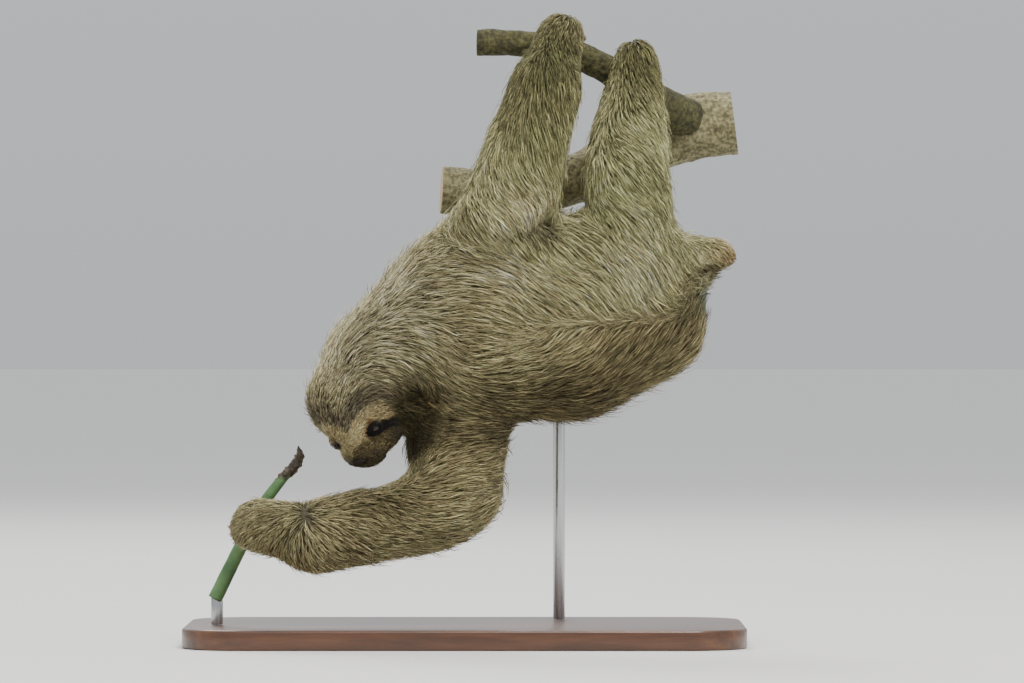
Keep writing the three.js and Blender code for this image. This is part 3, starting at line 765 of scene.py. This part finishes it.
def sculpted_face(q, ruled):
    """Eye openings and lids, lips, nose bed and bridge."""
    out = slope(head_field, q)
    push = np.zeros(len(q))
    for eye in EYES.values():
        x, y, ahead = ((q - eye) @ axis for axis in eye_axes(eye))
        opening = np.hypot(x / 4.9, (y - 0.3) / 3.5)
        front = smooth(ahead, 0, 2)
        push -= smooth(-opening, -1.12, -0.86) * front * 3.2
        push += np.exp(-(((opening - 1.42) / 0.24) ** 2)) * front * 0.7
        push -= np.exp(-(((opening - 2.3) / 0.4) ** 2)) * front * 0.6
    reach = np.hypot(q[:, 0] - 40, (q[:, 1] - 3) * 0.9)
    lips = q[:, 2] + 18 - 0.004 * (q[:, 1] - 3) ** 2 + 0.0006 * (58 - q[:, 0]) ** 2
    at_mouth = smooth(q[:, 0], 26, 36) * smooth(-reach, -60, -10)
    push -= np.exp(-((lips / 0.9) ** 2)) * at_mouth * 1.6
    push += np.exp(-(((lips - 2.2) / 1.6) ** 2)) * at_mouth * 0.5
    push -= np.exp(-(np.linalg.norm((q - NOSE) / (1, 1.15, 0.9), axis=1) / 7.5) ** 4) * 1.2
    bridge = np.exp(-(((q[:, 1] - 2) / 5) ** 2)) * smooth(q[:, 0], 40, 50) * smooth(q[:, 2], -8, -2)
    push += bridge * 0.8
    return q + out * (push * ruled)[:, None]


def unwrap(skin):
    """Gives the skin the unwrap of its own shape on which the coat's patches lie."""
    bpy.context.view_layer.objects.active = skin
    skin.select_set(True)
    bpy.ops.object.mode_set(mode="EDIT")
    bpy.ops.mesh.select_all(action="SELECT")
    bpy.ops.uv.smart_project(angle_limit=1.15, island_margin=0.002)
    bpy.ops.object.mode_set(mode="OBJECT")
    skin.data.uv_layers[0].name = "OFBake"


skin_mesh = make_skin()
skin = new_object("sloth_skin", skin_mesh)
unwrap(skin)
shade_smooth(skin_mesh)

skin_points, skin_normals = points_of(skin_mesh), normals_of(skin_mesh)
skin_weights, _ = bone_weights(skin_points)
skin_flow = lie_of_hair(skin_points, skin_normals, skin_weights)
skin_parting = 1 - np.linalg.norm(relax(skin_flow, edges_of(skin_mesh), 12, 0.5), axis=1)
skin_q = in_head(skin_points)
skin_face = smooth(skin_q[:, 0] - hood_edge(skin_q), -16, 3) * (np.linalg.norm(skin_q, axis=1) < 90)
# Under the coat the skin lies in shade, and shows a little more on the short-haired face.
paint(skin_mesh, "tone", markings_and_shade(skin_points) * (0.12 + 0.36 * skin_face)[:, None])
finish_piece(skin, FLESH, [skin_material()])

# ----- coat
SINGLE_PLACES = ("face", "head", "neck", "chest", "belly", "loin")
COAT_PIECES = {"coat_" + place: (place,) for place in SINGLE_PLACES}
COAT_PIECES["coat_rump"] = ("rump", "tail")
for side in ("_right", "_left"):
    COAT_PIECES["coat_arm" + side] = ("upper_arm" + side,)
    COAT_PIECES["coat_forearm" + side] = ("forearm" + side, "hand" + side)
for side in ("_right", "_left"):
    COAT_PIECES["coat_leg" + side] = ("thigh" + side, "shin" + side, "foot" + side)
PLACES = BONE_NAMES + ["loin", "face"]
LOIN_STARTS = 94  # x past which the belly's hair is the loin's
PATCH = 0.003  # how wide each tuft's patch is on the OFBake map
TAPER = (0.85, 1.0, 0.72)  # a tuft's width at each of its rings
LOCK_SIZE = 9  # how wide a lock is into which neighbouring tufts are drawn
FACE_LIFT, FACE_WIDTH = 1.6, 0.55  # how high and wide a tuft of the face is
ROOT_SUNK = 0.6  # how deep in the skin each tuft starts
STRAYS, PALE_TIPS = 0.05, 0.16  # shares of the tufts that stand up, and that pale toward the tip
surface = BVHTree.FromPolygons(
    [Vector(p) for p in skin_points], [tuple(p.vertices) for p in skin_mesh.polygons]
)
face_corner = np.array([p.vertices[0] for p in skin_mesh.polygons])


def roots(count, density):
    """Evenly spread places on the skin: corners, their loops and their shares."""
    skin_mesh.calc_loop_triangles()
    corners = array_of(skin_mesh.loop_triangles, "vertices", 3, np.int32)
    loops = array_of(skin_mesh.loop_triangles, "loops", 3, np.int32)
    a, b, c = (skin_points[corners[:, i]] for i in range(3))
    share = np.linalg.norm(np.cross(b - a, c - a), axis=1) * density[corners].mean(axis=1)
    steps = (np.arange(count) + rng.random(count) * 0.9) / count * share.sum()
    which = np.minimum(np.searchsorted(np.cumsum(share), steps), len(corners) - 1)
    u, v = rng.random(count), rng.random(count)
    u, v = np.where(u + v > 1, 1 - u, u), np.where(u + v > 1, 1 - v, v)
    blend = np.stack([1 - u - v, u, v], axis=1)
    return corners[which], loops[which], blend


def on_skin(corner, blend, values):
    """Values of the skin's points at the places between them."""
    if values.ndim == 1:
        return on_skin(corner, blend, values[:, None])[:, 0]
    return (values[corner] * blend[..., None]).sum(axis=1)


def combed(start, flow, length, segments, turn):
    """Steps along the skin with the lie of the hair: points on the skin and normals there."""
    points, normals = [start], []
    heading = flow
    for k in range(segments + 1):
        at, normal, way = np.empty_like(start), np.empty_like(start), np.empty_like(start)
        for i, p in enumerate(points[-1]):
            co, no, face, _ = surface.find_nearest(p)
            at[i], normal[i], way[i] = co, no, skin_flow[face_corner[face]]
        points[-1] = at
        normals.append(normal)
        if k == segments:
            break
        heading = unit(heading * 0.45 + way * 0.55)
        aside = np.cross(normal, heading)
        heading = unit(heading + aside * turn[:, None])
        points.append(at + heading * (length / segments)[:, None])
    return np.stack(points, axis=1), np.stack(normals, axis=1)


def tuft_points(path, normal, width):
    """Three-sided tufts that taper along their paths."""
    tangent = unit(np.gradient(path, axis=1))
    aside = unit(np.cross(tangent, normal))
    above = np.cross(aside, tangent)
    rings = []
    for k in range(path.shape[1] - 1):
        half = (width * TAPER[k] / 2)[:, None]
        middle, side, top = path[:, k], aside[:, k] * half, above[:, k] * half
        rings += [middle - side, middle + side, middle + top * 1.1]
    return np.stack(rings + [path[:, -1]], axis=1)


def tuft_faces(segments):
    """One tuft's triangles: its root, its sides and its tip."""
    faces = [(0, 2, 1)]
    for k in range(segments - 1):
        for i in range(3):
            a, b = 3 * k + i, 3 * k + (i + 1) % 3
            faces += [(a, b, b + 3), (a, b + 3, a + 3)]
    last = 3 * (segments - 1)
    faces += [(last + i, last + (i + 1) % 3, 3 * segments) for i in range(3)]
    return np.array(faces)


def clumped(path, t, amount):
    """Draws the ends of neighbouring tufts together into locks."""
    shifted = path[:, 0] + 5 * waves(path[:, 0], 15, 9)[:, None] + rng.random(3) * LOCK_SIZE
    _, group = np.unique(np.floor(shifted / LOCK_SIZE).astype(int), axis=0, return_inverse=True)
    group = group.ravel()
    many = np.bincount(group)
    for k in range(1, path.shape[1]):
        middle = np.stack([np.bincount(group, path[:, k, i]) / many for i in range(3)], axis=1)
        path[:, k] += (middle[group] - path[:, k]) * (amount * t[k] ** 1.5)[:, None]
    return path


def locks(count, density, segments, size, lift, shade, clump):
    """Tufts as points, triangles, tones and patches, with the place on the body that owns each."""
    corner, loops, blend = roots(count, density)
    start, up, flow = (on_skin(corner, blend, v) for v in (skin_points, skin_normals, skin_flow))
    weights, face = on_skin(corner, blend, skin_weights), on_skin(corner, blend, skin_face)
    hair_length, hair_depth, hair_width = (weights @ HAIR).T
    side = in_head(start)[:, 1]
    cheek = 5.0 + 3.5 * smooth(np.abs(side), 26, 42) + 3.5 * smooth(-side, 17, 26)
    length = (hair_length * (1 - face) + cheek * face) * size[0] * rng.uniform(0.7, 1.2, count)
    depth = (hair_depth * (1 - face) + FACE_LIFT * face) * lift
    width = (hair_width * (1 - face) + FACE_WIDTH * face) * size[1] * rng.uniform(0.75, 1.25, count)
    turn = waves(start, 22, 40) * 0.35 + rng.normal(0, 0.07, count)
    length *= 1 - 0.5 * np.clip(furrowed(start, up) / 15, 0, 1)
    ruffled = 0.26 * (1 - 0.6 * face) + 3.5 * on_skin(corner, blend, skin_parting)
    flow = unit(flow + np.cross(up, flow) * (rng.normal(0, 1, count) * ruffled)[:, None])
    path, normal = combed(start, flow, length, segments, turn)

    height = depth * rng.uniform(0.45, 1.12, count)
    height = np.where(rng.random(count) < STRAYS, height * 1.8, height)
    t = np.linspace(0, 1, segments + 1)
    rise = (1 - (1 - t) ** 1.8)[None] * height[:, None]
    rise[:, 0] = -ROOT_SUNK
    path = path + normal * rise[..., None]
    droop = (1 - face) * length * rng.uniform(0.02, 0.14, count)
    path[..., 2] -= droop[:, None] * t[None] ** 2
    shag = clump * (0.6 + 0.6 * (weights @ SHAGGY)) * (1 - face)
    path = clumped(path, t, np.minimum(shag, 0.8))

    tone = markings_and_shade(start)
    tone = tone * rng.lognormal(0, 0.24 + 0.1 * face, count)[:, None]
    tone = tone * rng.normal(1, 0.03, (count, 3))
    along = np.repeat(t, 3)[: 3 * segments + 1]
    fade = shade[0] + (shade[1] - shade[0]) * along**0.9
    pale = (rng.random(count) < PALE_TIPS) * (1 - face)
    tones = tone[:, None] * (fade[None] * (1 + 0.45 * pale[:, None] * along[None]))[..., None]

    uv = array_of(skin_mesh.uv_layers["OFBake"].data, "uv", 2)
    root_uv = (uv[loops] * blend[..., None]).sum(axis=1)
    around = np.append(np.tile([-1.0, 1.0, 0.0], segments), 0)
    patch = np.stack([around, along * 2 - 1], axis=1) * PATCH / 2
    shape = (count, len(along))
    owner = weights.argmax(axis=1)
    owner[(owner == PLACES.index("belly")) & (start[:, 0] > LOIN_STARTS)] = PLACES.index("loin")
    owner[face > 0.5] = PLACES.index("face")
    return {
        "points": tuft_points(path, normal, width),
        "faces": tuft_faces(segments),
        "tone": tones,
        "patch": root_uv[:, None] + patch[None],
        "along": np.broadcast_to(along, shape),
        "across": np.broadcast_to(around, shape) * (width[:, None] / 1.2),
        "pick": np.broadcast_to(rng.uniform(0, 900, count)[:, None], shape),
        "owner": owner,
    }


def join_locks(name, sets, chosen, material):
    """One coat piece from the tufts whose roots lie on the chosen places."""
    rows = {key: [] for key in ("points", "tone", "patch", "along", "across", "pick")}
    faces, total = [], 0
    for tufts in sets:
        keep = np.isin(tufts["owner"], [PLACES.index(place) for place in chosen])
        n, each = int(keep.sum()), tufts["points"].shape[1]
        for key, parts in rows.items():
            values = tufts[key][keep]
            parts.append(values.reshape(n * each, *values.shape[2:]))
        offsets = total + np.arange(n)[:, None, None] * each
        faces.append((tufts["faces"][None] + offsets).reshape(-1, 3))
        total += n * each
    rows, faces = {key: np.concatenate(parts) for key, parts in rows.items()}, np.concatenate(faces)
    mesh = mesh_of(name, rows["points"], faces)
    paint(mesh, "tone", np.clip(rows["tone"], 0, 1))
    for key in ("along", "across", "pick"):
        paint(mesh, key, rows[key])
    patches = rows["patch"][faces.ravel()].astype(np.float32)
    mesh.uv_layers.new(name="OFBake").data.foreach_set("uv", patches.ravel())
    return finish_piece(new_object(name, mesh), materials=[material])


share = 1.0
even = np.ones(len(skin_points))
short = skin_weights @ (HAIR[:, 0] < 17)
dense = (1 + 2.4 * skin_face + 0.7 * short) * (1 - 0.3 * smooth(skin_normals[:, 1], 0.2, 0.7))
# how many, how dense, segments, length and width, lift, shade at root and tip, clumping
UNDERCOAT = (24000, even, 2, (0.8, 2.2), 0.5, (0.17, 0.56), 0.0)
OVERCOAT = (34000, dense, 3, (1.05, 1.1), 0.95, (0.24, 1.3), 0.6)
FINE_HAIR = (62000, dense, 2, (0.9, 0.6), 1.08, (0.5, 1.75), 0.35)
tuft_sets = [locks(int(count * share), *rest) for count, *rest in (UNDERCOAT, OVERCOAT, FINE_HAIR)]

hair = hair_material()
for name, chosen in COAT_PIECES.items():
    join_locks(name, tuft_sets, chosen, hair)


# ----- eyes, nose, claws
def ball(name, middle, half, rings, shape=None):
    """A closed ball; shape, if given, moves its points in head axes."""
    bm = bmesh.new()
    bmesh.ops.create_uvsphere(bm, u_segments=rings * 2, v_segments=rings, radius=1.0)
    mesh = mesh_from(name, bm)
    local = array_of(mesh.vertices, "co", 3)[:, [2, 0, 1]] * half
    if shape:
        local = shape(local)
    move_points(mesh, out_of_head(local + middle))
    first = mesh.polygons[0]
    if first.normal.dot(Vector(first.center) - Vector(out_of_head(middle) * MM)) < 0:
        mesh.flip_normals()
    shade_smooth(mesh)
    return new_object(name, mesh)


def nostrils(p):
    """Two nostrils and the groove under them, sunk into the nose pad."""
    for side in (-1, 1):
        r = np.linalg.norm((p - np.array((3.0, side * 3.4, -0.8))) / (3.0, 1.7, 1.3), axis=1)
        p = p - np.array((2.2, 0, 0)) * np.exp(-(r**4))[:, None]
    groove = np.exp(-((p[:, 1] / 0.7) ** 2)) * smooth(-p[:, 2], -0.5, 2)
    return p - np.array((0.9, 0, 0)) * groove[:, None]


def horn(node, material):
    """A CAD claw rounded off, with a value that runs from its root to its tip."""
    rough = new_object(node + "_rough", mesh_from(node + "_horn", solid_of(node)))
    rough.modifiers.new("round", "SUBSURF").levels = 2
    swell = rough.modifiers.new("swell", "DISPLACE")
    swell.strength, swell.mid_level = 0.0005, 0
    mesh = modified(rough)
    shade_smooth(mesh)
    hand = node.replace("claw_", "").rsplit("_", 1)[0]
    away = np.linalg.norm(points_of(mesh) - centre_of(hand), axis=1)
    paint(mesh, "along", (away - away.min()) / (away.max() - away.min()))
    return finish_piece(new_object(node + "_horn", mesh), [node], [material])


eye_look, claw_look = eye_material(), claw_material()
for side, middle in EYES.items():
    eyeball = ball("eyeball_" + side, middle, EYE_RADIUS, 24)
    finish_piece(eyeball, ["eye_" + side], [eye_look])
finish_piece(ball("nose_pad", NOSE, NOSE_HALF, 40, nostrils), ["nose"], [nose_material()])
for node in [n for n in NODES if n.startswith("claw_")]:
    horn(node, claw_look)


# ----- perches
CUT_RINGS = (0.96, 0.66, 0.33, 0.02)  # rings of points across a cut end, as shares of its radius

# The places that each limb of wood passes through, and its radii along them.
THIN = (
    ((12, 2, 604), (55, 0, 603), (93, 3, 597), (135, 12, 582), (175, 24, 558), (210, 58, 537),
     (236, 90, 524)),
    (13.5, 14, 14, 14.5, 16, 20, 24),
)
THICK = (
    ((-25, 92, 458), (45, 97, 454), (110, 96, 469), (160, 95, 493), (220, 94, 520), (274, 92, 527)),
    (24, 25, 26, 29, 35, 32),
)
STEM = (
    ((-167, -22, 199), (-166, -22, 189), (-171, -22, 178), (-182, -22, 167), (-200, -24, 143),
     (-225, -26, 97), (-250, -28, 46)),
    (0.9, 4.2, 5.2, 4.8, 6.2, 7, 7.3),
)


def curve_through(line, radii, steps):
    """Points and radii along a smooth curve through the places."""
    line, t = np.array(line, float), np.linspace(0, len(line) - 1, steps)
    padded = np.vstack([2 * line[0] - line[1], line, 2 * line[-1] - line[-2]])
    k = np.minimum(t.astype(int), len(line) - 2)
    u = (t - k)[:, None]
    p0, p1, p2, p3 = (padded[k + i] for i in range(4))
    bend, twist = 2 * p0 - 5 * p1 + 4 * p2 - p3, 3 * p1 - p0 - 3 * p2 + p3
    at = 0.5 * (2 * p1 + (p2 - p0) * u + bend * u**2 + twist * u**3)
    share = np.linspace(0, len(radii) - 1, steps)
    return at, np.interp(share, np.arange(len(radii)), radii)


def limb_of_wood(name, node, course, steps, sides, relief, seed, materials):
    """A round length of branch with uneven bark, and cut ends in the second material if any."""
    at, radius = curve_through(*course, steps)
    along = unit(np.gradient(at, axis=0))
    side = unit(np.cross(along, (0.1, 1, 0.2)))
    over = np.cross(side, along)
    turn = np.linspace(0, 2 * np.pi, sides, endpoint=False)[None, :, None]
    out = side[:, None] * np.cos(turn) + over[:, None] * np.sin(turn)
    flat = (at[:, None] + out * radius[:, None, None]).reshape(-1, 3)
    bumps = waves(flat, 30, seed) * 1.6 + waves(flat, 9, seed + 1)
    bumps += waves(flat, 3.5, seed + 2) * 0.5
    wall = flat + out.reshape(-1, 3) * (bumps * relief - 0.4 * relief)[:, None]

    index = np.arange(steps * sides).reshape(steps, sides)
    beside = np.roll(index, -1, axis=1)
    bark = np.stack([index[:-1], beside[:-1], beside[1:], index[1:]], axis=-1).reshape(-1, 4)
    points, faces, ring = [wall], [bark], [np.zeros(len(wall))]
    for end in (0, -1):
        middle, rim, inner = at[end], wall.reshape(steps, sides, 3)[end], index[end]
        for share in CUT_RINGS:
            these = sum(map(len, points)) + np.arange(sides)
            points.append(middle + (rim - middle) * share)
            ring.append(np.linalg.norm(points[-1] - middle, axis=1))
            faces.append(np.stack([inner, these, np.roll(these, -1), np.roll(inner, -1)], axis=-1))
            inner = these
    mesh = mesh_of(name, np.concatenate(points), np.concatenate(faces))
    paint(mesh, "ring", np.concatenate(ring))
    which = (np.arange(len(mesh.polygons)) >= len(bark)) & (len(materials) > 1)
    mesh.polygons.foreach_set("material_index", which.astype(np.int32))
    bm = bmesh.new()
    bm.from_mesh(mesh)
    bmesh.ops.recalc_face_normals(bm, faces=bm.faces)
    bm.to_mesh(mesh)
    return finish_piece(new_object(name, mesh), [node], materials)


def withered(stem):
    """Crumples the stem's dead tip and marks it for the material."""
    points, out = points_of(stem.data), normals_of(stem.data)
    dead = smooth(points[:, 2] + 6 * waves(points, 8, 2), 162, 169)
    crumple = waves(points * (1, 1, 0.35), 2.6, 9) * 3.2 + waves(points, 2, 10) * 1.4
    points += out * (crumple * dead * smooth(-points[:, 2], -198, -192))[:, None]
    move_points(stem.data, points)
    paint(stem.data, "dead", dead)


cut_wood = cut_wood_material()
mossy = bark_material("mossy_bark", (46, 42, 22), (78, 75, 40), (106, 101, 62), (84, 88, 44))
pale = bark_material("pale_bark", (92, 84, 58), (146, 138, 100), (182, 174, 134), (150, 146, 108))
thin_looks, thick_looks, stem_looks = [mossy, cut_wood], [pale, cut_wood], [stem_material()]
limb_of_wood("branch_thin", "perch_branch_thin", THIN, 190, 64, 0.9, 3, thin_looks)
limb_of_wood("branch_thick", "perch_branch_thick", THICK, 230, 96, 1.5, 8, thick_looks)
withered(limb_of_wood("green_stem", "perch_stem", STEM, 210, 40, 0.35, 5, stem_looks))


# ----- stand
def softened(name, node, width, material):
    """The CAD solid with its sharp edges rounded over."""
    bm = solid_of(node)
    bmesh.ops.dissolve_limit(bm, angle_limit=0.01, verts=bm.verts, edges=bm.edges)
    sharp = [e for e in bm.edges if e.calc_face_angle(0) > 0.7]
    bmesh.ops.bevel(bm, geom=sharp, offset=width * MM, segments=3, affect="EDGES", profile=0.5)
    mesh = mesh_from(name, bm)
    shade_smooth(mesh)
    mesh.set_sharp_from_angle(angle=0.6)
    return finish_piece(new_object(name, mesh), [node], [material])


softened("base_board", "stand_base", 2.5, wood_material())
steel = steel_material()
softened("rod_to_branch", "stand_rod_branch", 0.8, steel)
softened("rod_to_stem", "stand_rod_stem", 0.8, steel)

# ----- floor, light and camera
FLOOR_RADIUS = 60
HORIZON, OVERHEAD = (0.72, 0.735, 0.75, 1), (1.12, 1.15, 1.18, 1)
VIEW_WIDTH, CAMERA_AWAY = 1.024, 6.0  # metres across the view, and out to the camera
CAMERA_PLACE = (0.047, -0.03 - CAMERA_AWAY, 0.3035)


def studio_floor():
    bm = bmesh.new()
    bmesh.ops.create_circle(bm, cap_ends=True, radius=FLOOR_RADIUS, segments=96)
    floor = new_object("floor", mesh_from("floor", bm))
    floor.data.materials.append(plain_material("floor", (222, 221, 218), 3.0))


def soft_daylight():
    """Even light from all round, a little brighter from above."""
    world = bpy.data.worlds.new("studio")
    bpy.context.scene.world = world
    world.use_nodes = True
    nodes, links = world.node_tree.nodes, world.node_tree.links
    height = nodes.new("ShaderNodeSeparateXYZ")
    links.new(nodes.new("ShaderNodeTexCoord").outputs["Generated"], height.inputs[0])
    overcast = nodes.new("ShaderNodeValToRGB")
    low, high = overcast.color_ramp.elements
    low.color, high.color, high.position = HORIZON, OVERHEAD, 0.4
    links.new(height.outputs["Z"], overcast.inputs["Fac"])
    links.new(overcast.outputs["Color"], nodes["Background"].inputs["Color"])
    nodes["Background"].inputs["Strength"].default_value = 0.8


def area_light(name, place, size, power, colour=(1, 1, 1)):
    """A round lamp that looks at the middle of the model."""
    light = bpy.data.lights.new(name, "AREA")
    light.shape, light.size, light.energy, light.color = "DISK", size, power, colour
    obj = new_object(name, light)
    obj.location = place
    obj.rotation_euler = (Vector((0, 0, 0.35)) - Vector(place)).to_track_quat("-Z", "Y").to_euler()


studio_floor()
soft_daylight()
area_light("key", (1.0, -2.3, 4.2), 1.8, 260, (1, 0.98, 0.94))
area_light("rim", (-0.8, 3.2, 3.4), 1.8, 110)

camera = bpy.data.cameras.new("camera")
camera.sensor_width = 36
camera.lens = camera.sensor_width * CAMERA_AWAY / VIEW_WIDTH
camera.clip_end = 100
eye = new_object("camera", camera)
eye.location = CAMERA_PLACE
eye.rotation_euler = (np.pi / 2, 0, 0)
bpy.context.scene.camera = eye
